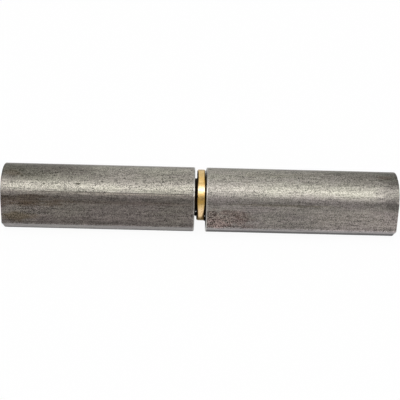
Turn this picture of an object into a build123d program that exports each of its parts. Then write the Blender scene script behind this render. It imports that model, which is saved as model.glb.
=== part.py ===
"""Weld-on barrel hinge of drawn teardrop bar, with a pressed-in pin and a brass thrust washer.

The pieces are modelled about the pin axis, which runs along X through the origin. They are then
set down together: the hinge lies on its lower flanks on the plane z = 0, with the weld lands
turned to -Y and down, and the origin in the middle of the footprint.
All sizes are millimetres.
"""

import os
from math import acos, atan2, cos, hypot, radians, sin, tan

from build123d import *

# Drawn bar: a round back with two flanks, tangent to it, that run out to a flat weld land
BARREL_DIAMETER = 20.0
SECTION_DEPTH = 23.0            # from the back of the round to the weld land
WELD_LAND_WIDTH = 6.0
LAND_EDGE_RADIUS = 0.5
END_EDGE_BREAK = 0.4            # bevel round the sawn ends

# Lengths along the pin axis
CLOSED_LENGTH = 140.0           # both halves pushed together on the washer
PIN_BARREL_SOLID_END = 29.0     # solid steel between the drilled hole and the outer end
SOCKET_BARREL_SOLID_END = 24.0

# Pin, and the holes that hold it
PIN_DIAMETER = 12.0
PIN_TIP_BEVEL = 1.5             # along the pin, at either end
PIN_TIP_BEVEL_ANGLE = 30.0      # between the bevel and the pin axis
DRILL_POINT_ANGLE = 118.0
MOUTH_COUNTERSINK = 0.8
PRESS_INTERFERENCE = 0.01       # on the radius, pin in the pin barrel
SOCKET_CLEARANCE = 0.08         # on the radius, pin in the socket barrel
SEAT_END_SPACE = 0.5            # air between the pin and the start of the drill point
SOCKET_END_SPACE = 2.0          # the same in the socket barrel, with the hinge closed

# Brass thrust washer
WASHER_DIAMETER = 18.5
WASHER_THICKNESS = 3.0
WASHER_EDGE_RADIUS = 0.6
WASHER_BORE_BEVEL = 0.3
WASHER_CLEARANCE = 0.09         # on the radius, around the pin

# The hinge lies slightly pulled apart
SOCKET_SIDE_GAP = 0.8           # socket barrel to washer
PIN_SIDE_GAP = 0.3              # washer to pin barrel

# Radii and lengths that follow
BARREL_RADIUS = BARREL_DIAMETER / 2
PIN_RADIUS = PIN_DIAMETER / 2
SEAT_RADIUS = PIN_RADIUS - PRESS_INTERFERENCE
SOCKET_RADIUS = PIN_RADIUS + SOCKET_CLEARANCE
WASHER_BORE_RADIUS = PIN_RADIUS + WASHER_CLEARANCE
BARREL_LENGTH = (CLOSED_LENGTH - WASHER_THICKNESS) / 2

# Angle at the pin axis between the middle of the weld land and the normal of a flank
HALF_LAND = WELD_LAND_WIDTH / 2
LAND_DISTANCE = SECTION_DEPTH - BARREL_RADIUS
LAND_CORNER_DISTANCE = hypot(LAND_DISTANCE, HALF_LAND)
FLANK_ANGLE = atan2(HALF_LAND, LAND_DISTANCE) + acos(BARREL_RADIUS / LAND_CORNER_DISTANCE)


def drill_point(radius):
    """Depth of the cone that the drill leaves at the bottom of a hole."""
    return radius / tan(radians(DRILL_POINT_ANGLE / 2))


# Straight depth of each hole, from the inner end of its barrel to the start of the drill point
SEAT_DEPTH = BARREL_LENGTH - PIN_BARREL_SOLID_END - drill_point(SEAT_RADIUS)
SOCKET_DEPTH = BARREL_LENGTH - SOCKET_BARREL_SOLID_END - drill_point(SOCKET_RADIUS)

# Length of pin outside its barrel, and in all
PIN_FREE_LENGTH = WASHER_THICKNESS + SOCKET_DEPTH - SOCKET_END_SPACE
PIN_LENGTH = PIN_FREE_LENGTH + SEAT_DEPTH - SEAT_END_SPACE

# Stations along X, from the outer end of the socket half to the pin half
REST_LENGTH = 2 * BARREL_LENGTH + SOCKET_SIDE_GAP + WASHER_THICKNESS + PIN_SIDE_GAP
SOCKET_OUTER_END = -REST_LENGTH / 2
SOCKET_INNER_END = SOCKET_OUTER_END + BARREL_LENGTH
WASHER_START = SOCKET_INNER_END + SOCKET_SIDE_GAP
PIN_BARREL_START = WASHER_START + WASHER_THICKNESS + PIN_SIDE_GAP
PIN_START = PIN_BARREL_START - PIN_FREE_LENGTH


def along_axis(station, direction=1):
    """Plane through the pin axis: its x runs along the axis from a station, its y is radial."""
    return Plane(origin=(station, 0, 0), x_dir=(direction, 0, 0), z_dir=(0, -1, 0))


def bar_section(station):
    """Teardrop section of the drawn bar. In its plane x runs from the pin axis to the middle of
    the weld land, and is turned about the axis so that the lower flank faces straight down."""
    to_land = (0, -sin(FLANK_ANGLE), -cos(FLANK_ANGLE))
    tangent_x = BARREL_RADIUS * cos(FLANK_ANGLE)
    tangent_y = BARREL_RADIUS * sin(FLANK_ANGLE)
    with BuildSketch(Plane(origin=(station, 0, 0), x_dir=to_land, z_dir=(1, 0, 0))) as section:
        with BuildLine():
            ThreePointArc((tangent_x, tangent_y), (-BARREL_RADIUS, 0), (tangent_x, -tangent_y))
            Polyline(
                (tangent_x, -tangent_y),
                (LAND_DISTANCE, -HALF_LAND),
                (LAND_DISTANCE, HALF_LAND),
                (tangent_x, tangent_y),
            )
        make_face()
        fillet(section.vertices().group_by(Axis.X)[-1], LAND_EDGE_RADIUS)
    return section.sketch


def drilled_hole(mouth, direction, radius, depth):
    """Solid that a drill and a countersink take out, from the mouth inwards."""
    with BuildPart() as hole:
        with BuildSketch(along_axis(mouth, direction)):
            with BuildLine():
                Polyline(
                    (0, 0),
                    (0, radius + MOUTH_COUNTERSINK),
                    (MOUTH_COUNTERSINK, radius),
                    (depth, radius),
                    (depth + drill_point(radius), 0),
                    close=True,
                )
            make_face()
        revolve(axis=Axis.X)
    return hole.part


def barrel(start, hole):
    """One half of the hinge: a length of the bar, edges broken at both ends, drilled."""
    with BuildPart() as half:
        extrude(bar_section(start), amount=BARREL_LENGTH, dir=(1, 0, 0))
        chamfer(half.faces().filter_by(Axis.X).edges(), END_EDGE_BREAK)
        add(hole, mode=Mode.SUBTRACT)
    return half.part


def hinge_pin():
    """Round pin, bevelled at either end to enter its holes."""
    tip_radius = PIN_RADIUS - PIN_TIP_BEVEL * tan(radians(PIN_TIP_BEVEL_ANGLE))
    with BuildPart() as pin:
        with BuildSketch(along_axis(PIN_START)):
            with BuildLine():
                Polyline(
                    (0, 0),
                    (0, tip_radius),
                    (PIN_TIP_BEVEL, PIN_RADIUS),
                    (PIN_LENGTH - PIN_TIP_BEVEL, PIN_RADIUS),
                    (PIN_LENGTH, tip_radius),
                    (PIN_LENGTH, 0),
                    close=True,
                )
            make_face()
        revolve(axis=Axis.X)
    return pin.part


def thrust_washer():
    """Turned ring with a rounded rim and a lightly bevelled bore."""
    ring_width = WASHER_DIAMETER / 2 - WASHER_BORE_RADIUS
    with BuildPart() as washer:
        with BuildSketch(along_axis(WASHER_START)) as ring:
            with Locations((0, WASHER_BORE_RADIUS)):
                Rectangle(WASHER_THICKNESS, ring_width, align=(Align.MIN, Align.MIN))
            fillet(ring.vertices().group_by(Axis.Y)[-1], WASHER_EDGE_RADIUS)
            chamfer(ring.vertices().group_by(Axis.Y)[0], WASHER_BORE_BEVEL)
        revolve(axis=Axis.X)
    return washer.part


pieces = {
    "socket_barrel": barrel(
        SOCKET_OUTER_END, drilled_hole(SOCKET_INNER_END, -1, SOCKET_RADIUS, SOCKET_DEPTH)
    ),
    "pin_barrel": barrel(
        PIN_BARREL_START, drilled_hole(PIN_BARREL_START, 1, SEAT_RADIUS, SEAT_DEPTH)
    ),
    "hinge_pin": hinge_pin(),
    "thrust_washer": thrust_washer(),
}

# Lower flanks on the ground, footprint centred across the pin axis
footprint = bar_section(0).bounding_box()
set_down = Location((0, -(footprint.min.Y + footprint.max.Y) / 2, -footprint.min.Z))

os.makedirs("parts", exist_ok=True)
for name, piece in pieces.items():
    export_step(piece.moved(set_down), f"parts/{name}.step")
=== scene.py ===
import math

import bpy
import numpy as np
from mathutils import Matrix, Vector


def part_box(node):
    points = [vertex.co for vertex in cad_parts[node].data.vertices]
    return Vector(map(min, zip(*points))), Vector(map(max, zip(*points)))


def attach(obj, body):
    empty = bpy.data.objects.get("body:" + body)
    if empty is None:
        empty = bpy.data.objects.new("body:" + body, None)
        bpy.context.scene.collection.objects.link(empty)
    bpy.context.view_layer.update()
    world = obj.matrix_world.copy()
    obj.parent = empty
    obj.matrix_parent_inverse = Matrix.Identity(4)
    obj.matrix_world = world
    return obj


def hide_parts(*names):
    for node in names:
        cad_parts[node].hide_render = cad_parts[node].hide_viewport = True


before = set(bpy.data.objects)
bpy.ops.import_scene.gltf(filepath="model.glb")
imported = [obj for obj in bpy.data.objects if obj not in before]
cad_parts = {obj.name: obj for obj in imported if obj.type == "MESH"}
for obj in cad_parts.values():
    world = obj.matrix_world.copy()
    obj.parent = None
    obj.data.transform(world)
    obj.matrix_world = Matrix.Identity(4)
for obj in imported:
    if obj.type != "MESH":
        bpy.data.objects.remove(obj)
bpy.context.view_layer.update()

# Looks of the weld-on barrel hinge: two lengths of drawn teardrop bar, a brass thrust washer
# and the pin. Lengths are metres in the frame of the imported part; MM turns millimetres into them.
MM = 0.001

# ---------------------------------------------------------------- places, from the frame
socket_low, socket_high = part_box("socket_barrel")
pin_barrel_low, pin_barrel_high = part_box("pin_barrel")
washer_low, washer_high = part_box("thrust_washer")
pin_low, pin_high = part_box("hinge_pin")

BARREL_RADIUS = (socket_high.z - socket_low.z) / 2
BARREL_LENGTH = socket_high.x - socket_low.x
PIN_RADIUS = (pin_high.z - pin_low.z) / 2
WASHER_RADIUS = (washer_high.z - washer_low.z) / 2
AXIS = Vector(((washer_low.x + washer_high.x) / 2, socket_high.y - BARREL_RADIUS, BARREL_RADIUS))

# ---------------------------------------------------------------- sizes of the bar and its holes
SECTION_DEPTH = 23.0 * MM         # back of the round to the weld land
HALF_LAND = 3.0 * MM
LAND_EDGE_RADIUS = 0.5 * MM
END_BREAK = 0.4 * MM              # radius that the edges of the sawn ends are rounded to
MOUTH_COUNTERSINK = 0.8 * MM
SOCKET_CLEARANCE = 0.08 * MM      # on the radius, like the next two
WASHER_CLEARANCE = 0.09 * MM
PRESS_INTERFERENCE = 0.01 * MM
SOCKET_RADIUS = PIN_RADIUS + SOCKET_CLEARANCE
SEAT_RADIUS = PIN_RADIUS - PRESS_INTERFERENCE
DRILL_HALF_ANGLE = math.radians(59)
# Distance from a barrel's outer end to the tip of its drilled hole.
SOLID_END = {"socket_barrel": 24.0 * MM, "pin_barrel": 29.0 * MM}

LAND_DISTANCE = SECTION_DEPTH - BARREL_RADIUS
FLANK_ANGLE = math.atan2(HALF_LAND, LAND_DISTANCE) + math.acos(
    BARREL_RADIUS / math.hypot(LAND_DISTANCE, HALF_LAND)
)
# Directions across the bar: from its axis to the land, and up along the land.
TO_LAND = (0, -math.sin(FLANK_ANGLE), -math.cos(FLANK_ANGLE))
UPWARD = (0, -math.cos(FLANK_ANGLE), math.sin(FLANK_ANGLE))

# ---------------------------------------------------------------- marks of the bar's making
# Grooves left by the drawing die: angle about the pin axis (0 in front, 90 above), depth in
# millimetres, and where they start and stop, in millimetres from the outer end.
DIE_GROOVES = {
    "socket_barrel": ((38.2, 0.034, 17, 69), (27.5, 0.012, 2, 40), (63.0, 0.008, 10, 60)),
    "pin_barrel": ((21.5, 0.006, 8, 60), (47.0, 0.007, 4, 50), (88.0, 0.012, 30, 60)),
}
GROOVE_HALF_WIDTH = 1.0           # degrees
GROOVE_FADE = 6 * MM              # length over which a groove starts, and stops
MARKS_FADE = 1.5 * MM             # length over which all marks die away toward the sawn ends
FINE_LINES = 70
WAVES = 24
WAVE_DEPTH = 0.0012 * MM
PITS = 260
NICKS = 34


# ---------------------------------------------------------------- meshes
SIDE_RINGS = 236                  # rings of points along a barrel's drawn side
EDGE_TURNS = np.radians((15, 30, 45, 60, 75))      # of the points that round an end's edge
SHARP_ANGLE = math.radians(32)


def smooth(obj):
    """Smooth shading, broken where the faces meet at more than SHARP_ANGLE."""
    obj.data.shade_smooth()
    obj.data.set_sharp_from_angle(angle=SHARP_ANGLE)
    return obj


def new_object(name, points, faces, material):
    """Mesh object with a material index on each face and its normals turned outward."""
    mesh = bpy.data.meshes.new(name)
    mesh.from_pydata(points.tolist(), [], faces)
    mesh.polygons.foreach_set("material_index", material)
    mesh.update()
    sample = faces[:: max(1, len(faces) // 4000)]               # enough to tell how they face
    corners = np.array([[mesh.vertices[i].co for i in face[:3]] for face in sample])
    a, b, c = corners[:, 0], corners[:, 1], corners[:, 2]
    if np.einsum("ij,ij->i", a - points.mean(0), np.cross(b - a, c - a)).sum() < 0:
        mesh.flip_normals()
    obj = bpy.data.objects.new(name, mesh)
    bpy.context.scene.collection.objects.link(obj)
    return obj


def strip(first, second, here, after):
    """Faces between two rows of points, whose numbers count on from first and from second."""
    return np.stack([first + here, first + after, second + after, second + here], axis=1).tolist()


def tube_mesh(name, rings, slots):
    """Object from closed rings of as many points each, with a fan at either end.

    rings is an array of rings x points x 3, from pole to pole; the first and the last ring are
    single points repeated. slots gives the material index of the band after each ring.
    """
    count = rings.shape[1]
    body = rings[1:-1]
    points = np.concatenate([body.reshape(-1, 3), rings[:1, 0], rings[-1:, 0]])
    here = np.arange(count)
    after = (here + 1) % count
    faces, material = [], []
    for band in range(len(body) - 1):
        faces += strip(band * count, (band + 1) * count, here, after)
        material += [slots[band + 1]] * count
    last_ring = (len(body) - 1) * count
    first_pole, last_pole = len(points) - 2, len(points) - 1
    faces += np.stack([after, here, np.full(count, first_pole)], axis=1).tolist()
    faces += np.stack(
        [last_ring + here, last_ring + after, np.full(count, last_pole)], axis=1
    ).tolist()
    material += [slots[0]] * count + [slots[-1]] * count
    return new_object(name, points, faces, material)


def bar_outline():
    """Section of the bar as rows of y, z, normal y, normal z about the pin axis.

    It is drawn on the upper side, from the middle of the land over the flank to the back of the
    round, and then mirrored.
    """
    front = LAND_DISTANCE - LAND_EDGE_RADIUS
    reach = BARREL_RADIUS - LAND_EDGE_RADIUS - front * math.cos(FLANK_ANGLE)
    edge = Vector((front, reach / math.sin(FLANK_ANGLE)))
    half = []
    for t in np.linspace(0, 1, 13)[:-1]:                        # land
        half.append((LAND_DISTANCE, edge.y * t, 1.0, 0.0))
    for angle in np.linspace(0, FLANK_ANGLE, 9):                # rounded corner of the land
        n = (math.cos(angle), math.sin(angle))
        half.append((edge.x + LAND_EDGE_RADIUS * n[0], edge.y + LAND_EDGE_RADIUS * n[1], *n))
    n = np.array((math.cos(FLANK_ANGLE), math.sin(FLANK_ANGLE)))
    start, stop = np.array(half[-1][:2]), n * BARREL_RADIUS
    for t in np.linspace(0, 1, 37)[1:-1]:                       # flank
        half.append((*(start + (stop - start) * t), *n))
    for angle in np.linspace(FLANK_ANGLE, math.pi, 92):         # round
        n = (math.cos(angle), math.sin(angle))
        half.append((BARREL_RADIUS * n[0], BARREL_RADIUS * n[1], *n))
    half = np.array(half)
    mirrored = half[-2:0:-1] * (1, -1, 1, -1)
    whole = np.concatenate([half, mirrored])
    to_land, upward = np.array(TO_LAND[1:]), np.array(UPWARD[1:])
    place = whole[:, :1] * to_land + whole[:, 1:2] * upward
    normal = whole[:, 2:3] * to_land + whole[:, 3:4] * upward
    return np.concatenate([place, normal], axis=1)


def die_lines(arc, along, rng):
    """Depth of the drawing marks: fine grooves that run along the bar and fade in and out."""
    depth = np.zeros((len(along), len(arc)))
    for _ in range(FINE_LINES):
        width = rng.uniform(0.12, 0.5) * MM
        centre = rng.uniform(arc[0], arc[-1])
        middle, reach = rng.uniform(0, BARREL_LENGTH), rng.uniform(6, 45) * MM
        groove = np.exp(-(((arc - centre) / width) ** 2))
        fade = np.exp(-(((along - middle) / reach) ** 2))
        depth += rng.uniform(0.004, 0.014) * MM * fade[:, None] * groove[None, :]
    return depth


def die_grooves(name, angles, along):
    """Depth of the few deeper grooves, each of which starts and stops somewhere on the bar."""
    depth = np.zeros((len(along), len(angles)))
    for angle, deep, start, stop in DIE_GROOVES[name]:
        groove = np.exp(-(((angles - angle) / GROOVE_HALF_WIDTH) ** 2))
        ends = np.clip(np.minimum(along - start * MM, stop * MM - along) / GROOVE_FADE, 0, 1)
        depth += deep * MM * ends[:, None] * groove[None, :]
    return depth


def waves(arc, along, rng):
    """Depth of the slight unevenness of the bar, sunk so far that hardly any of it stands out."""
    depth = np.zeros((len(along), len(arc)))
    turns = arc / arc[-1] * 2 * math.pi
    for _ in range(WAVES):
        round_waves = rng.integers(1, 14)
        length = rng.uniform(5, 40) * MM
        phase = rng.uniform(0, 2 * math.pi, 2)
        depth += np.outer(
            np.cos(along / length * 2 * math.pi + phase[0]), np.cos(round_waves * turns + phase[1])
        )
    return WAVE_DEPTH * (depth + 2 * WAVES ** 0.5)


def side_depth(name, place, along, rng):
    """Depth of all the marks on a barrel's drawn side. They die away toward its sawn ends."""
    step = np.linalg.norm(np.diff(place, axis=0, append=place[:1]), axis=1)
    arc = np.concatenate([[0], np.cumsum(step)[:-1]])
    angles = np.degrees(np.arctan2(place[:, 1], -place[:, 0]))
    depth = die_lines(arc, along, rng) + die_grooves(name, angles, along) + waves(arc, along, rng)
    from_end = np.minimum(along - along[0], along[-1] - along)
    return depth * np.clip(from_end / MARKS_FADE, 0, 1)[:, None]


def press(points, centre, radius, push):
    """Pushes the points near a centre by a vector, fading out with distance."""
    away = ((points - np.array(centre)) ** 2).sum(axis=1)
    near = away < (3 * radius) ** 2
    points[near] += np.exp(-away[near] / radius ** 2)[:, None] * np.array(push)


def barrel_rings(name, outer_end, direction, bore_radius, outline, rng):
    """Rings of points from a barrel's outer end to the tip of its hole.

    With them come the material index of the band after each ring, and the numbers of the first
    and the last ring of the drawn side.
    """
    place, normal = outline[:, :2], outline[:, 2:]
    polar = place / np.linalg.norm(place, axis=1)[:, None]
    rings, slots = [], []
    drawn, sawn, drilled = 0, 1, 2

    def add(distance, yz, slot):
        x = np.full(len(yz), outer_end + direction * distance)
        rings.append(np.column_stack([x, yz[:, 0] + AXIS.y, yz[:, 1] + AXIS.z]))
        slots.append(slot)

    def toward_circle(share, radius):
        return (place - normal * END_BREAK) * (1 - share) + polar * radius * share

    def rounded_edge(turn):
        return place - normal * END_BREAK * (1 - math.sin(turn))

    add(0, place * 0, sawn)
    for share in np.linspace(0.9, 0, 10):                       # outer end face
        add(0, toward_circle(share, 0.3 * MM), sawn)
    slots[-1] = drawn
    for turn in EDGE_TURNS:
        add(END_BREAK * (1 - math.cos(turn)), rounded_edge(turn), drawn)

    first = len(rings)
    along = np.linspace(END_BREAK, BARREL_LENGTH - END_BREAK, SIDE_RINGS)
    depth = side_depth(name, place, along, rng)
    for distance, row in zip(along, depth):                     # drawn side
        add(distance, place - normal * row[:, None], drawn)
    last = len(rings) - 1

    for turn in EDGE_TURNS[::-1]:
        add(BARREL_LENGTH - END_BREAK * (1 - math.cos(turn)), rounded_edge(turn), drawn)
    for share in np.linspace(0, 1, 9):                          # inner end face
        add(BARREL_LENGTH, toward_circle(share, bore_radius + MOUTH_COUNTERSINK), sawn)
    slots[-1] = drilled
    hole_end = SOLID_END[name] + bore_radius / math.tan(DRILL_HALF_ANGLE)
    for distance in np.linspace(BARREL_LENGTH - MOUTH_COUNTERSINK, hole_end, 40):
        add(distance, polar * bore_radius, drilled)
    for share in (0.66, 0.33):                                  # drill point
        cone = bore_radius * share
        add(hole_end - (bore_radius - cone) / math.tan(DRILL_HALF_ANGLE), polar * cone, drilled)
    add(SOLID_END[name], place * 0, drilled)
    return np.array(rings), slots, first, last


def pit_and_nick(rings, first, last, inward, direction, rng):
    """Presses pits into the rolled skin of the side, and nicks round the sawn ends.

    rings is changed in place, because its reshaped forms share its numbers.
    """
    side, everything = rings[first:last + 1].reshape(-1, 3), rings.reshape(-1, 3)
    for _ in range(PITS):
        row, column = rng.integers(8, last - first - 7), rng.integers(0, len(inward))
        radius = rng.uniform(0.16, 0.42) * MM
        push = inward[column] * rng.uniform(0.01, 0.04) * MM
        press(side, rings[first + row, column], radius, push)
    for _ in range(NICKS):
        ring = rng.choice([first, last])
        column = rng.integers(0, len(inward))
        toward_middle = direction * (1 if ring == first else -1)
        push = inward[column] + np.array((toward_middle, 0, 0))
        radius = rng.uniform(0.25, 0.7) * MM
        press(everything, rings[ring, column], radius, push * rng.uniform(0.03, 0.10) * MM)


def barrel(name, outer_end, direction, bore_radius, seed):
    """Half of the hinge, from its outer end inwards, with its hole and the marks of its making."""
    rng = np.random.default_rng(seed)
    outline = bar_outline()
    rings, slots, first, last = barrel_rings(name, outer_end, direction, bore_radius, outline, rng)
    inward = np.concatenate([np.zeros((len(outline), 1)), -outline[:, 2:]], axis=1)
    pit_and_nick(rings, first, last, inward, direction, rng)
    return smooth(tube_mesh(name + "_bar", rings, slots))


def turned(name, profile, segments):
    """Closed solid of revolution about the pin axis, from (x, radius) corners."""
    angle = np.linspace(0, 2 * math.pi, segments, endpoint=False)
    back, up = np.sin(angle), np.cos(angle)
    points = np.concatenate([
        np.column_stack([np.full(segments, x), AXIS.y + r * back, AXIS.z + r * up])
        for x, r in profile
    ])
    here = np.arange(segments)
    after = (here + 1) % segments
    faces = []
    for corner in range(len(profile)):
        following = (corner + 1) % len(profile)
        faces += strip(corner * segments, following * segments, here, after)
    return smooth(new_object(name, points, faces, [0] * len(faces)))


def washer():
    """Brass ring: a straight rim between rounded edges, flat faces and a bevelled bore."""
    low, high = washer_low.x, washer_high.x
    edge, bevel = 0.6 * MM, 0.3 * MM
    bore = PIN_RADIUS + WASHER_CLEARANCE
    mouth, inner, outer = bore + bevel, bore + 1.2 * MM, WASHER_RADIUS - edge - 0.2 * MM

    def rounded_edge(turn):
        return edge * (1 - math.cos(turn)), WASHER_RADIUS - edge * (1 - math.sin(turn))

    profile = [(low, mouth), (low, inner), (low, outer)]
    for inset, radius in map(rounded_edge, np.linspace(0, math.pi / 2, 9)):
        profile.append((low + inset, radius))
    for x in np.linspace(low + edge, high - edge, 8)[1:-1]:
        profile.append((x, WASHER_RADIUS))
    for inset, radius in map(rounded_edge, np.linspace(math.pi / 2, 0, 9)):
        profile.append((high - inset, radius))
    profile += [(high, outer), (high, inner), (high, mouth)]
    profile += [(high - bevel, bore), (low + bevel, bore)]
    return turned("thrust_washer_ring", profile, 256)


def pin():
    """Ground pin with bevelled ends. Its profile closes on a hair-thin bore along the axis."""
    low, high = pin_low.x, pin_high.x
    bevel, hair = 1.5 * MM, 0.02 * MM
    tip = PIN_RADIUS - bevel * math.tan(math.radians(30))
    inner = tip * 0.6
    profile = [(low, hair), (low, inner), (low, tip), (low + bevel, PIN_RADIUS)]
    profile += [(x, PIN_RADIUS) for x in np.linspace(low + bevel, high - bevel, 30)[1:-1]]
    profile += [(high - bevel, PIN_RADIUS), (high, tip), (high, inner), (high, hair)]
    return turned("hinge_pin_rod", profile, 160)


# ---------------------------------------------------------------- materials
# Bright steel of the rubbed inner rims: wear, and partly a painted highlight
WORN_STEEL_AND_GLINT = (0.55, 0.54, 0.51, 1)
GREASE = (0.020, 0.010, 0.003, 1)
LAND_TINT = (0.98, 1.0, 1.07)
# Tints of the metals' shine at a glancing angle.
STEEL_GLANCE = (0.84, 0.84, 0.84, 1)
BRASS_GLANCE = (0.74, 0.66, 0.52, 1)
# How far each noise moves the tone of the drawn steel.
GRAIN, SPECK, STREAK, DASH = 0.75, 0.5, 1.1, 0.8
LINE_FADE = 8                     # millimetres over which a line on a bar starts, and stops


class Graph:
    """Short names for building a material's nodes. Coordinates are those of the frame."""

    def __init__(self, name):
        self.material = bpy.data.materials.new(name)
        self.material.use_nodes = True
        self.tree = self.material.node_tree
        self.shader = next(n for n in self.tree.nodes if n.type == "BSDF_PRINCIPLED")
        self.coordinates = self.tree.nodes.new("ShaderNodeTexCoord").outputs["Object"]

    def node(self, kind, inputs=None, **settings):
        made = self.tree.nodes.new(kind)
        for key, value in settings.items():
            setattr(made, key, value)
        for key, value in (inputs or {}).items():
            self.set(made.inputs[key], value)
        return made

    def set(self, socket, value):
        if isinstance(value, bpy.types.NodeSocket):
            self.tree.links.new(value, socket)
        else:
            socket.default_value = value

    def show(self, shader):
        """Makes another shader than the first one the material's surface."""
        output = next(n for n in self.tree.nodes if n.type == "OUTPUT_MATERIAL")
        self.set(output.inputs["Surface"], shader.outputs[0])

    def stretched(self, scale, offset=(0, 0, 0)):
        """Object coordinates times a scale for each axis."""
        mapped = self.node("ShaderNodeMapping", {"Vector": self.coordinates})
        mapped.inputs["Scale"].default_value = scale
        mapped.inputs["Location"].default_value = offset
        return mapped.outputs["Vector"]

    def noise(self, vector, scale, detail, roughness):
        made = self.node(
            "ShaderNodeTexNoise",
            {"Vector": vector, "Scale": scale, "Detail": detail, "Roughness": roughness},
        )
        return made.outputs["Fac"]

    def remap(self, value, low, high, to_low=0.0, to_high=1.0, course="SMOOTHSTEP"):
        made = self.node(
            "ShaderNodeMapRange",
            {"Value": value, "From Min": low, "From Max": high, "To Min": to_low,
             "To Max": to_high},
            interpolation_type=course,
        )
        return made.outputs["Result"]

    def math(self, operation, a, b=0.0):
        made = self.node("ShaderNodeMath", operation=operation)
        self.set(made.inputs[0], a)
        self.set(made.inputs[1], b)
        return made.outputs["Value"]

    def total(self, *terms):
        """Sum of (value, weight) terms, each value counted from its middle, 0.5."""
        whole = 0.0
        for value, weight in terms:
            part = self.math("MULTIPLY", self.math("SUBTRACT", value, 0.5), weight)
            whole = self.math("ADD", whole, part)
        return whole

    def band(self, value, middle, half_width, height):
        """A bump of a height round a middle value, falling to 0 at either side."""
        off = self.math("ABSOLUTE", self.math("SUBTRACT", value, middle))
        return self.remap(off, 0, half_width, height, 0.0)

    def mix(self, factor, a, b, blend="MIX"):
        made = self.node("ShaderNodeMix", data_type="RGBA", blend_type=blend)
        self.set(made.inputs["Factor"], factor)
        self.set(made.inputs[6], a)
        self.set(made.inputs[7], b)
        return made.outputs[2]

    def tinted(self, colour, share, tint):
        """A colour, multiplied by a tint where the share is 1."""
        return self.mix(share, colour, (*tint, 1), "MULTIPLY")

    def scaled(self, colour, factor):
        made = self.node("ShaderNodeVectorMath", {0: colour}, operation="SCALE")
        self.set(made.inputs["Scale"], factor)
        return made.outputs["Vector"]

    def metal(self, colour, glance):
        """Bare metal of a colour, with the tint of its shine at a glancing angle."""
        self.set(self.shader.inputs["Base Color"], colour)
        self.shader.inputs["Metallic"].default_value = 1.0
        self.shader.inputs["Specular Tint"].default_value = glance

    def grease(self, colour, share):
        """Metal of a colour where the share is 0, and old dark grease where it is 1."""
        self.set(self.shader.inputs["Base Color"], self.mix(share, colour, GREASE))
        self.set(self.shader.inputs["Metallic"], self.remap(share, 0, 1, 1.0, 0.0))
        self.set(self.shader.inputs["Specular IOR Level"], self.remap(share, 0, 1, 0.5, 0.08))

    def bump(self, height, distance):
        made = self.node("ShaderNodeBump", {"Height": height, "Distance": distance})
        return made.outputs["Normal"]

    def parts(self):
        """The coordinates' X, Y and Z."""
        return self.node("ShaderNodeSeparateXYZ", {0: self.coordinates}).outputs

    def along(self):
        """Place along the pin axis."""
        return self.parts()["X"]

    def round_about(self):
        """Angle about the pin axis in degrees: 0 in front of it, 90 above it and 180 behind it.

        It jumps from 270 to -90 under the axis, where the round meets the flank on the floor.
        """
        parts = self.parts()
        above = self.math("SUBTRACT", parts["Z"], AXIS.z)
        behind = self.math("SUBTRACT", parts["Y"], AXIS.y)
        turn = self.math("MULTIPLY", self.math("ARCTAN2", behind, above), math.degrees(1))
        return self.math("ADD", turn, 90.0)

    def off_axis(self):
        """Vector from the middle of the washer, on the pin axis."""
        off = self.node(
            "ShaderNodeVectorMath", {0: self.coordinates, 1: AXIS}, operation="SUBTRACT"
        )
        return off.outputs["Vector"]

    def from_axis(self):
        """Distance from the pin axis."""
        flat = self.node(
            "ShaderNodeVectorMath", {0: self.off_axis(), 1: (0, 1, 1)}, operation="MULTIPLY"
        )
        length = self.node("ShaderNodeVectorMath", {0: flat.outputs["Vector"]}, operation="LENGTH")
        return length.outputs["Value"]

    def toward(self, direction):
        """Distance from the pin axis in one direction across it."""
        dot = self.node(
            "ShaderNodeVectorMath", {0: self.off_axis(), 1: direction}, operation="DOT_PRODUCT"
        )
        return dot.outputs["Value"]


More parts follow.
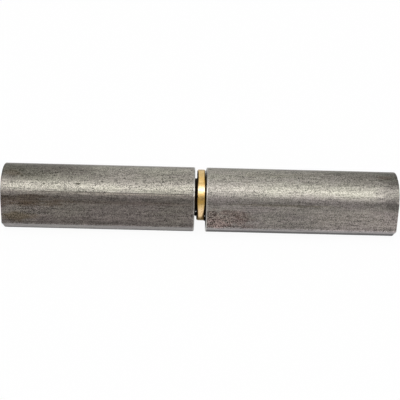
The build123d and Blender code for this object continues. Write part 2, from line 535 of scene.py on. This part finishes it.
class DrawnSteel(Graph):
    """Steel of one drawn bar, with the place, the angle and the noises that its marks share.

    Its look is one of the two below, where the entries are explained.
    """

    def __init__(self, name, offset, inner_end, outer_end, look):
        super().__init__(name)
        self.inner_end, self.outer_end, self.look = inner_end, outer_end, look
        even = self.stretched((1, 1, 1), offset)
        drawn_out = self.stretched((0.06, 1, 1), offset)
        dashed = self.stretched((0.3, 1, 1), offset)
        self.x, self.angle = self.along(), self.round_about()
        self.grain = self.remap(self.noise(even, 3300, 1.0, 0.6), 0.34, 0.66)
        self.speck = self.noise(even, 1500, 1.0, 0.5)
        self.streaks = self.noise(drawn_out, 1900, 3.0, 0.7)
        self.dashes = self.noise(dashed, 1500, 2.0, 0.6)
        self.hue = self.noise(dashed, 190, 3.0, 0.6)
        self.ragged = self.noise(dashed, 450, 4.0, 0.65)
        self.wavering = self.math("ADD", self.angle, self.total((self.streaks, 1.2)))

    def at(self, distance):
        """Place along the pin axis, from the distance to the outer end in millimetres."""
        toward_middle = 1 if self.inner_end > self.outer_end else -1
        return self.outer_end + toward_middle * distance * MM

    def area(self, distance, turn, reach, reach_round, raggedness):
        """1 within an area of the bar, and 0 beyond its ragged rim."""
        u = self.math("DIVIDE", self.math("SUBTRACT", self.x, self.at(distance)), reach * MM)
        v = self.math("DIVIDE", self.math("SUBTRACT", self.angle, turn), reach_round)
        far = self.math("ADD", self.math("POWER", u, 2.0), self.math("POWER", v, 2.0))
        far = self.math("ADD", far, self.total((self.ragged, raggedness * 3)))
        return self.remap(far, 1.5, 0.2)

    def line(self, middle, half_width, start, stop):
        """1 on a line along the bar, which is broken up by the streaks, and 0 beside it."""
        line = self.band(self.wavering, middle, half_width, 1.0)
        near = self.remap(self.x, self.at(start), self.at(start + LINE_FADE))
        far = self.remap(self.x, self.at(stop), self.at(stop - LINE_FADE))
        line = self.math("MULTIPLY", self.math("MULTIPLY", near, far), line)
        return self.math("MULTIPLY", line, self.remap(self.streaks, 0.22, 0.44))

    def skin(self):
        """Colour of the bar: two tones, scale below its edge, stained areas and lines, and painted
        light and shade among them.
        """
        look = self.look
        # Mauve grows toward the flank: a painted tint of the light falling there
        low = self.remap(self.math("ADD", self.angle, self.total((self.streaks, 3.0))), 46, 30)
        low = self.math("MULTIPLY", low, 0.5)
        mauve = self.math("ADD", self.remap(self.hue, 0.35, 0.65, 0.0, 0.5), low)
        colour = self.mix(mauve, (*look["olive"], 1), (*look["mauve"], 1))
        edge_inner, edge_outer, softness, scale_tint = look["scale"]
        edge = self.remap(self.x, self.inner_end, self.outer_end, edge_inner, edge_outer, "LINEAR")
        above_edge = self.math("SUBTRACT", self.wavering, edge)
        colour = self.tinted(colour, self.remap(above_edge, softness, -softness), scale_tint)
        for *place, tint in look["areas"]:
            colour = self.tinted(colour, self.area(*place), tint)
        for *place, tint in look["lines"]:
            colour = self.tinted(colour, self.line(*place), tint)
        return colour

    def grains(self):
        """Light and dark grains about 0, stronger in the highlight, on top and at the foot."""
        sparkle = self.math("ADD", GRAIN, self.band(self.angle, 53, 15, self.look["sparkle"]))
        grains = self.total(
            (self.grain, sparkle), (self.speck, SPECK), (self.streaks, STREAK), (self.dashes, DASH)
        )
        on_top = self.band(self.angle, 92, 34, 0.5)
        at_foot = self.remap(self.angle, 8, 0, 0.0, 0.24)
        more = self.math("ADD", on_top, at_foot)
        for *place, gain in self.look["coarse"]:
            more = self.math("ADD", more, self.math("MULTIPLY", self.area(*place), gain))
        return self.math("MULTIPLY", grains, self.math("ADD", 1.0, more))

    def pits(self):
        """1 in the dark pits, fewer of which show on the flank, and 0 beside them."""
        level = self.look["pits"]
        pits = self.remap(self.speck, level, level + 0.07, 1.0, 0.0)
        share = self.remap(self.angle, 25, 50, self.look["pits_below"], 1.0)
        return self.math("MULTIPLY", pits, share)

    def worn_rim_and_glint(self):
        """1 on the bright rim at the inner end, which is worn and, where the highlight falls, a
        painted highlight, and 0 away from it.
        """
        from_end = self.math("ABSOLUTE", self.math("SUBTRACT", self.x, self.inner_end))
        from_end = self.math("ADD", from_end, self.total((self.speck, 0.5 * MM)))
        worn_rim_and_glint = self.remap(from_end, 0.5 * MM, 0.28 * MM)
        # Full brightness only above the flank, where the highlight falls: a painted highlight
        share = self.remap(self.angle, 28, 42, self.look["rim_share_below"], 1.0)
        return self.math("MULTIPLY", worn_rim_and_glint, share)


def drawn_steel(name, offset, inner_end, outer_end, look):
    """Bare drawn steel: dull and speckled, with streaks along the bar, pits, stained areas, and
    painted light and shade.
    """
    g = DrawnSteel(name, offset, inner_end, outer_end, look)
    pits = g.pits()
    tone = g.math("SUBTRACT", g.math("ADD", 1.0, g.grains()), g.math("MULTIPLY", pits, 0.45))
    land = g.remap(g.toward(TO_LAND), LAND_DISTANCE - 0.3 * MM, LAND_DISTANCE - 0.1 * MM)
    colour = g.tinted(g.skin(), land, [c * look["land"] for c in LAND_TINT])

    # The lower land is darkened: a painted reflection of the shaded floor under the hinge
    low_edge, low_tone = look["low_land"]
    upward = g.math("ADD", g.toward(UPWARD), g.total((g.streaks, 1.5 * MM)))
    low = g.remap(upward, (low_edge + 0.7) * MM, (low_edge - 0.7) * MM)
    tone = g.math("MULTIPLY", tone, g.remap(g.math("MULTIPLY", land, low), 0, 1, 1.0, low_tone))
    colour = g.scaled(colour, g.math("MAXIMUM", tone, 0.12))
    g.metal(g.mix(g.worn_rim_and_glint(), colour, WORN_STEEL_AND_GLINT), STEEL_GLANCE)

    rough = g.math("ADD", look["roughness"], g.total((g.grain, 0.05), (g.hue, 0.1)))
    g.set(g.shader.inputs["Roughness"], rough)
    height = g.total((g.grain, 0.25), (g.speck, 0.9), (g.streaks, 0.6), (g.dashes, 0.4))
    height = g.math("SUBTRACT", height, g.math("MULTIPLY", pits, 0.8))
    g.set(g.shader.inputs["Normal"], g.bump(height, 0.02 * MM))
    return g.material


def sawn_steel(name):
    """Saw-cut end: fine parallel marks. Old grease darkens the inner ends up to their rims."""
    g = Graph(name)
    across = g.stretched((1, 1, 0.04))
    marks = g.noise(across, 3600, 2.0, 0.7)
    coarse = g.noise(across, 900, 2.0, 0.5)
    blotch = g.noise(g.stretched((1, 1, 1)), 260, 4.0, 0.6)
    colour = g.mix(g.remap(marks, 0.3, 0.7), (0.22, 0.21, 0.195, 1), (0.38, 0.37, 0.35, 1))
    colour = g.mix(g.remap(blotch, 0.45, 0.7, 0.0, 0.7), colour, (0.19, 0.165, 0.14, 1))
    inside = g.remap(g.math("ABSOLUTE", g.math("SUBTRACT", g.along(), AXIS.x)), 6 * MM, 5 * MM)
    reach = g.math("ADD", g.from_axis(), g.total((blotch, 1.2 * MM)))
    grease = g.math("MULTIPLY", inside, g.remap(reach, 12.6 * MM, 11.6 * MM))
    g.grease(colour, grease)
    rough = g.math("ADD", g.remap(coarse, 0.3, 0.7, 0.34, 0.48), g.math("MULTIPLY", grease, 0.4))
    g.set(g.shader.inputs["Roughness"], rough)
    g.set(g.shader.inputs["Normal"], g.bump(g.math("ADD", marks, coarse), 0.03 * MM))
    return g.material


def machined_steel(name, tint, roughness):
    """Turned or ground steel: fine rings round the pin axis. Old grease blackens its middle."""
    g = Graph(name)
    rings = g.noise(g.stretched((1, 0.02, 0.02)), 3000, 3.0, 0.7)
    film = g.noise(g.stretched((1, 1, 1)), 240, 4.0, 0.6)
    colour = g.mix(g.remap(rings, 0.3, 0.7), [c * 0.8 for c in tint[:3]] + [1], tint)
    colour = g.mix(g.remap(film, 0.5, 0.8, 0.0, 0.7), colour, (0.13, 0.11, 0.09, 1))
    from_middle = g.math("ABSOLUTE", g.math("SUBTRACT", g.along(), AXIS.x))
    grease = g.remap(g.math("ADD", from_middle, g.total((film, 5 * MM))), 6.5 * MM, 4.5 * MM)
    g.grease(colour, grease)
    rough = g.remap(film, 0.3, 0.7, roughness - 0.06, roughness + 0.06)
    g.set(g.shader.inputs["Roughness"], g.math("ADD", rough, g.math("MULTIPLY", grease, 0.3)))
    g.set(g.shader.inputs["Normal"], g.bump(rings, 0.006 * MM))
    return g.material


def turned_brass(name):
    """Turned brass: fine rings and brown tarnish with a painted darker band in it, paler below as
    painted light, and a painted highlight along the crest.

    Painted shade darkens the top and the lower rim. Grime, and painted shade that widens toward the
    bottom, cover all but a stripe round the middle of the rim, which is narrow below and wide
    above, and shines under a thin clear film.
    """
    g = Graph(name)
    rings = g.noise(g.stretched((1, 0.03, 0.03)), 5200, 3.0, 0.65)
    tarnish = g.noise(g.stretched((1, 1, 1)), 620, 4.0, 0.62)
    specks = g.noise(g.stretched((1, 1, 1)), 2300, 2.0, 0.5)
    angle = g.round_about()
    height = g.math("DIVIDE", g.toward((0, 0, 1)), WASHER_RADIUS)
    colour = g.mix(g.remap(rings, 0.3, 0.7), (0.52, 0.345, 0.12, 1), (0.70, 0.48, 0.19, 1))
    # Brown tarnish, plus a painted darker band at 26 degrees about the pin axis
    brown = g.remap(g.math("ADD", tarnish, g.band(angle, 26, 14, 0.16)), 0.48, 0.66)
    painted_shade_below = g.remap(height, -0.22, -0.48, 0.0, 0.9)
    for share, tone in (
        (brown, (0.66, 0.40, 0.10, 1)),
        (g.remap(height, 0.30, 0.02, 0.0, 0.85), (0.88, 0.64, 0.37, 1)),     # paler below: painted light
        (g.band(angle, 52, 14, 0.85), (0.82, 0.66, 0.46, 1)),                # painted highlight along the crest
        (g.remap(angle, 76, 94, 0.0, 0.6), (0.40, 0.29, 0.13, 1)),           # painted shade on the top
        (g.remap(specks, 0.50, 0.68, 0.0, 0.6), (0.40, 0.25, 0.08, 1)),
        (painted_shade_below, (0.10, 0.07, 0.045, 1)),                                      # painted shade on the lower rim
    ):
        colour = g.mix(share, colour, tone)

    # Grime on the rim's edges, and painted shade: the dark edges widen toward the bottom
    middle = g.remap(height, 0.1, -0.4, AXIS.x, AXIS.x - 0.25 * MM)
    from_middle = g.math("ABSOLUTE", g.math("SUBTRACT", g.along(), middle))
    bright_half_width = g.remap(height, -0.62, 0.42, 0.25 * MM, 1.35 * MM, "LINEAR")
    grime_and_edge_shade = g.remap(g.math("SUBTRACT", from_middle, bright_half_width), -0.15 * MM, 0.15 * MM)
    g.metal(g.mix(g.math("MULTIPLY", grime_and_edge_shade, 0.85), colour, (0.06, 0.03, 0.01, 1)), BRASS_GLANCE)

    rough = g.math("ADD", g.remap(tarnish, 0.3, 0.7, 0.20, 0.30), g.band(angle, 24, 13, 0.20))
    g.set(g.shader.inputs["Roughness"], rough)
    film = g.remap(g.math("MAXIMUM", grime_and_edge_shade, painted_shade_below), 0, 0.9, 0.5, 0.0)
    g.set(g.shader.inputs["Coat Weight"], film)
    g.shader.inputs["Coat Roughness"].default_value = 0.2
    marks = g.math("ADD", g.math("MULTIPLY", rings, 0.7), g.math("MULTIPLY", specks, 0.8))
    g.set(g.shader.inputs["Normal"], g.bump(marks, 0.015 * MM))
    return g.material


# ---------------------------------------------------------------- looks of the two bars
# Angles are degrees about the pin axis, 0 in front and 90 above. Distances are millimetres from
# the outer end. A tint multiplies the colour under it.
#   olive, mauve   the two tones of the steel, mixed at random; mauve also grows toward the flank
#                  as a painted tint of the light there
#   scale          angle under which the scale was left on, at the inner and at the outer end,
#                  the softness of that edge in degrees, and the tint of the scale
#   land           tone of the weld land
#   low_land       height up the land below which it is darker, in millimetres, and its tone there;
#                  the darkening is a painted reflection of the shaded floor
#   rim_share_below  share of the bright inner rim, partly a painted highlight, that shows on the
#   flank
#   pits           noise level under which the skin is pitted
#   pits_below     share of the pits that shows on the flank
#   sparkle        extra grain in the highlight
#   coarse         areas with coarser grain, placed as the stains are, each with its gain
#   lines          lines along the bar, scratches and painted shade and highlight: angle, half width,
#                  where they start and stop, tint
#   areas          stains, spots and painted light and shade: distance, angle, reach along, reach
#                  round, raggedness, tint
SOCKET_LOOK = {
    "olive": (0.282, 0.270, 0.228),
    "mauve": (0.285, 0.255, 0.238),
    "scale": (37.0, 41.0, 1.0, (0.77, 0.75, 0.74)),
    "land": 1.03,
    "low_land": (-1.1, 0.38),
    "rim_share_below": 0.5,
    "pits": 0.29,
    "pits_below": 0.35,
    "sparkle": 0.35,
    "coarse": ((8, 8, 12, 22, 0.8, 0.35),),
    "lines": (
        # The die groove's painted shade, then the painted highlight on its lower wall
        (39.1, 1.2, 9, 80, (0.40, 0.38, 0.37)),
        (36.8, 1.2, 30, 80, (1.24, 1.19, 1.17)),
        (27.9, 0.9, 20, 52, (0.70, 0.66, 0.66)),
        (19.4, 0.9, 14, 45, (0.80, 0.78, 0.76)),
        (59.4, 0.8, 40, 80, (0.88, 0.88, 0.87)),
    ),
    "roughness": 0.37,
    "areas": (
        (8, 98, 26, 38, 0.8, (0.66, 0.66, 0.64)),        # painted shade on the top by the outer end
        (40, 118, 60, 20, 0.4, (0.86, 0.86, 0.85)),      # darker back of the round
        (4, 80, 3, 10, 1.2, (0.87, 0.81, 0.77)),
        (62, 44, 13, 5, 0.8, (0.87, 0.87, 0.86)),
        (10, 19, 15, 11, 1.5, (0.76, 0.69, 0.63)),       # brown scale below the die groove
        (8, 12, 5, 6, 1.0, (0.78, 0.73, 0.66)),
        (45, 19, 28, 5, 1.2, (0.86, 0.83, 0.81)),
        (6, -12, 6, 8, 1.5, (0.82, 0.76, 0.64)),
        (25, -16, 24, 6, 1.2, (0.86, 0.85, 0.85)),
        (35, -19.5, 60, 3.5, 0.9, (0.82, 0.82, 0.83)),
        (35, 30, 75, 8, 0.3, (1.10, 1.10, 1.11)),        # lighter band just below the scale's edge
        (61, 61, 8, 4, 0.8, (1.10, 1.10, 1.10)),
        (7.0, 88, 0.9, 5.0, 0.2, (0.52, 0.52, 0.50)),    # dent drawn as painted shade round a painted glint
        (7.0, 88, 0.4, 2.2, 0.0, (2.30, 2.30, 2.30)),
        (7.4, 71, 0.6, 3.0, 0.2, (0.42, 0.42, 0.40)),
        (15.3, 54.8, 0.5, 2.4, 0.2, (0.38, 0.38, 0.36)),
        (27.3, 56, 1.0, 2.2, 0.2, (0.28, 0.28, 0.26)),
    ),
}
PIN_LOOK = {
    "olive": (0.325, 0.312, 0.266),
    "mauve": (0.318, 0.287, 0.270),
    "scale": (34, 34, 12, (0.95, 0.94, 0.94)),
    "land": 1.0,
    "low_land": (0.4, 0.16),
    "rim_share_below": 0.9,
    "pits": 0.27,
    "pits_below": 0.4,
    "sparkle": 0.12,
    "coarse": ((63, -10, 9, 15, 1.2, 0.9),),
    "lines": (
        (21.5, 1.2, 22, 62, (0.70, 0.69, 0.64)),
        (-21.5, 1.0, -8, 80, (1.30, 1.30, 1.32)),
        (84.0, 1.0, 26, 66, (0.86, 0.86, 0.84)),
        (97.0, 1.2, 30, 60, (0.84, 0.84, 0.83)),
    ),
    "roughness": 0.40,
    "areas": (
        (8, 100, 20, 30, 0.8, (0.80, 0.80, 0.79)),       # painted shade on the top by the outer end
        (1, 55, 5.5, 45, 1.0, (0.66, 0.66, 0.66)),
        (5, 90, 3, 6, 1.2, (0.80, 0.71, 0.69)),
        (8, -6, 25, 22, 0.6, (1.20, 1.18, 1.18)),        # lighter flank by the outer end
        (37, -7, 26, 15, 0.8, (0.91, 0.91, 0.91)),
        (16, -46, 38, 8, 0.5, (0.70, 0.70, 0.71)),       # painted reflection of shade on the lower side of the land
        (50, -19.5, 42, 3.5, 0.9, (0.89, 0.89, 0.89)),
        (60, 42, 14, 4, 0.8, (0.88, 0.88, 0.88)),
        (40, 118, 60, 22, 0.4, (0.78, 0.78, 0.77)),      # darker back of the round
        (62.0, -8, 10, 15, 2.0, (0.82, 0.74, 0.73)),     # mottled rust near the inner end
        (65.2, -1, 1.0, 3.5, 0.5, (0.50, 0.46, 0.46)),
        (61.8, -4.5, 0.5, 2, 0.3, (0.40, 0.38, 0.38)),
        (61.4, 7, 1.6, 2.5, 0.8, (0.65, 0.60, 0.60)),
        (57.4, -4.5, 1.0, 3.5, 0.6, (0.66, 0.62, 0.61)),
        (56.2, -8.5, 1.0, 1.6, 0.8, (0.68, 0.63, 0.62)),
        (64, -15, 6, 6, 2.6, (1.22, 1.15, 1.17)),        # rubbed bright between the rust
        (42, 21, 18, 3, 1.0, (0.90, 0.90, 0.85)),
        (46, 88, 10, 5, 1.0, (0.84, 0.84, 0.82)),
        (33, 92, 9, 4, 1.0, (0.86, 0.86, 0.84)),
        (48, 61, 9, 5, 0.8, (1.12, 1.12, 1.12)),
    ),
}

# ---------------------------------------------------------------- the pieces
socket_steel = drawn_steel(
    "drawn_steel_socket", (0.0, 0.0, 0.0), socket_high.x, socket_low.x, SOCKET_LOOK
)
pin_steel = drawn_steel(
    "drawn_steel_pin", (0.31, 0.17, 0.05), pin_barrel_low.x, pin_barrel_high.x, PIN_LOOK
)
ends = sawn_steel("sawn_steel_ends")
bored = machined_steel("drilled_steel_holes", (0.30, 0.29, 0.27, 1), 0.34)
ground = machined_steel("ground_steel_pin", (0.34, 0.33, 0.31, 1), 0.26)
brass = turned_brass("turned_brass_washer")

socket_bar = barrel("socket_barrel", socket_low.x, 1, SOCKET_RADIUS, 11)
pin_bar = barrel("pin_barrel", pin_barrel_high.x, -1, SEAT_RADIUS, 23)
ring = washer()
rod = pin()

for obj, materials, node, body, slot in (
    (socket_bar, (socket_steel, ends, bored), "socket_barrel", "socket_half", "drawn_steel"),
    (pin_bar, (pin_steel, ends, bored), "pin_barrel", "pin_half", "drawn_steel"),
    (ring, (brass,), "thrust_washer", "washer", "brass"),
    (rod, (ground,), "hinge_pin", "pin_half", "pin_steel"),
):
    for material in materials:
        obj.data.materials.append(material)
    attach(obj, body)
    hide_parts(node)

# ---------------------------------------------------------------- floor, world and light
ROOM = 3.0                        # side of the square floor
FLOOR_GLOW = 0.94                 # share of plain white in the floor, beside its lit surface

# Radiance of the light tent by angle over the hinge in degrees, from the horizon in front (0)
# past the zenith (90) to the horizon behind (180): a wide soft bank above the camera.
TENT_LIGHT = (
    (0, 0.1), (20, 0.15), (34, 0.85), (47, 1.85), (60, 3.1), (74, 2.0), (92, 0.7), (120, 0.25),
    (180, 0.3),
)
BRIGHTEST = max(radiance for _, radiance in TENT_LIGHT)
TENT_RADIUS = 6.0
TENT_HALF_LENGTH = 18.0
BACK_CARD_LIGHT = 1.2             # radiance of the narrow card on the back of the tent
BACK_CARD_HALF_WIDTH = 0.72


def under_the_pin(g):
    """1 on the closed-in bit of floor seen past the pin, between the barrels, and 0 elsewhere.

    It lies slanted, further back toward the socket half.
    """
    parts = g.parts()
    behind = g.math("ADD", parts["Y"], g.math("MULTIPLY", parts["X"], 0.8))
    front = g.remap(behind, AXIS.y - 1.7 * MM, AXIS.y - 1.1 * MM)
    back = g.remap(behind, AXIS.y + 1.5 * MM, AXIS.y + 0.9 * MM)
    between = g.remap(g.math("ABSOLUTE", parts["X"]), 2.3 * MM, 2.05 * MM)
    crevice = g.node("ShaderNodeAmbientOcclusion", {"Distance": 20 * MM}, samples=8)
    covered = g.remap(crevice.outputs["AO"], 0.5, 0.3)
    place = g.math("MULTIPLY", g.math("MULTIPLY", front, back), between)
    return g.math("MULTIPLY", place, covered)


def white_floor():
    """Pale floor that keeps a soft shadow, and looks nearly white, in the metal as well."""
    half = ROOM / 2
    corners = np.array([(-half, -half, 0), (half, -half, 0), (half, half, 0), (-half, half, 0)])
    floor = new_object("floor", corners, [(0, 1, 2, 3)], [0])
    g = Graph("white_floor")
    g.shader.inputs["Base Color"].default_value = (0.82, 0.82, 0.82, 1)
    g.shader.inputs["Roughness"].default_value = 0.9
    path = g.node("ShaderNodeLightPath").outputs
    seen = g.math("MAXIMUM", path["Is Camera Ray"], path["Is Glossy Ray"])
    seen = g.math("MAXIMUM", seen, path["Is Transmission Ray"])
    white = g.math("SUBTRACT", 1.0, under_the_pin(g))
    glow = g.node("ShaderNodeEmission", {"Color": (1, 1, 1, 1), "Strength": white})
    share = g.math("MULTIPLY", seen, FLOOR_GLOW)
    lit, glowing = g.shader.outputs[0], glow.outputs[0]
    g.show(g.node("ShaderNodeMixShader", {0: share, 1: lit, 2: glowing}))
    floor.data.materials.append(g.material)


def white_world():
    """Plain white surroundings, seen through the tent and past its open ends."""
    world = bpy.data.worlds.new("white_world")
    bpy.context.scene.world = world
    world.use_nodes = True
    background = next(n for n in world.node_tree.nodes if n.type == "BACKGROUND")
    background.inputs["Color"].default_value = (1, 1, 1, 1)
    background.inputs["Strength"].default_value = 1.0


def light_tent():
    """Glowing half-round tent along the hinge: the studio's light. The camera looks through it."""
    turns = np.radians(np.linspace(-2, 182, 93))                # a little below both horizons
    y, z = -np.cos(turns) * TENT_RADIUS, np.sin(turns) * TENT_RADIUS
    lengths = np.linspace(-TENT_HALF_LENGTH, TENT_HALF_LENGTH, 7)
    points = np.concatenate([np.column_stack([np.full(len(turns), x), y, z]) for x in lengths])
    here = np.arange(len(turns) - 1)
    faces = []
    for row in range(len(lengths) - 1):
        faces += strip(row * len(turns), (row + 1) * len(turns), here, here + 1)
    tent = new_object("light_tent", points, faces, [0] * len(faces))
    tent.visible_camera = False

    g = Graph("tent_light")
    parts = g.parts()
    front = g.math("MULTIPLY", parts["Y"], -1.0)
    turn = g.math("DIVIDE", g.math("ARCTAN2", parts["Z"], front), math.pi)
    ramp = g.node("ShaderNodeValToRGB", {"Fac": turn})
    steps = ramp.color_ramp.elements
    while len(steps) < len(TENT_LIGHT):
        steps.new(1.0)
    for step, (angle, radiance) in zip(steps, TENT_LIGHT):
        step.position = angle / 180
        step.color = (*[radiance / BRIGHTEST] * 3, 1)
    bank = g.math("MULTIPLY", ramp.outputs["Color"], BRIGHTEST)
    across = g.math("POWER", g.math("DIVIDE", parts["X"], BACK_CARD_HALF_WIDTH), 2.0)
    card = g.math("EXPONENT", g.math("MULTIPLY", across, -0.5))
    card = g.math("MULTIPLY", card, g.remap(turn, 85 / 180, 105 / 180))
    light = g.math("ADD", bank, g.math("MULTIPLY", card, BACK_CARD_LIGHT))
    g.show(g.node("ShaderNodeEmission", {"Color": (1, 1, 1, 1), "Strength": light}))
    tent.data.materials.append(g.material)


white_floor()
white_world()
light_tent()

# ---------------------------------------------------------------- camera
CAMERA_AZIMUTH, CAMERA_ELEVATION, CAMERA_ROLL = -1.43, 39.75, 2.31     # degrees
CAMERA_DISTANCE = 319.2 * MM
CAMERA_LENS, SENSOR_WIDTH = 78.95, 36                                  # in millimetres
AIM_RIGHT, AIM_UP = -0.32 * MM, -1.85 * MM


def toward(azimuth, elevation):
    """Unit vector from the hinge. Azimuth 0 is in front of it (-Y), elevation is upward."""
    a, e = math.radians(azimuth), math.radians(elevation)
    return Vector((math.sin(a) * math.cos(e), -math.cos(a) * math.cos(e), math.sin(e)))


def place_camera():
    """Camera in front of the hinge, looking down on it, rolled a little as it was held."""
    data = bpy.data.cameras.new("camera")
    data.lens, data.sensor_width = CAMERA_LENS, SENSOR_WIDTH
    data.clip_start, data.clip_end = 0.02, 20
    camera = bpy.data.objects.new("camera", data)
    back = toward(CAMERA_AZIMUTH, CAMERA_ELEVATION)
    level = Vector((0, 0, 1)).cross(back).normalized()
    right = Matrix.Rotation(math.radians(CAMERA_ROLL), 3, back) @ level
    up = back.cross(right)
    camera.location = AXIS + back * CAMERA_DISTANCE + right * AIM_RIGHT + up * AIM_UP
    camera.rotation_mode = "QUATERNION"
    camera.rotation_quaternion = Matrix((right, up, back)).transposed().to_quaternion()
    bpy.context.scene.collection.objects.link(camera)
    bpy.context.scene.camera = camera


place_camera()
bpy.context.scene.view_settings.view_transform = "Standard"
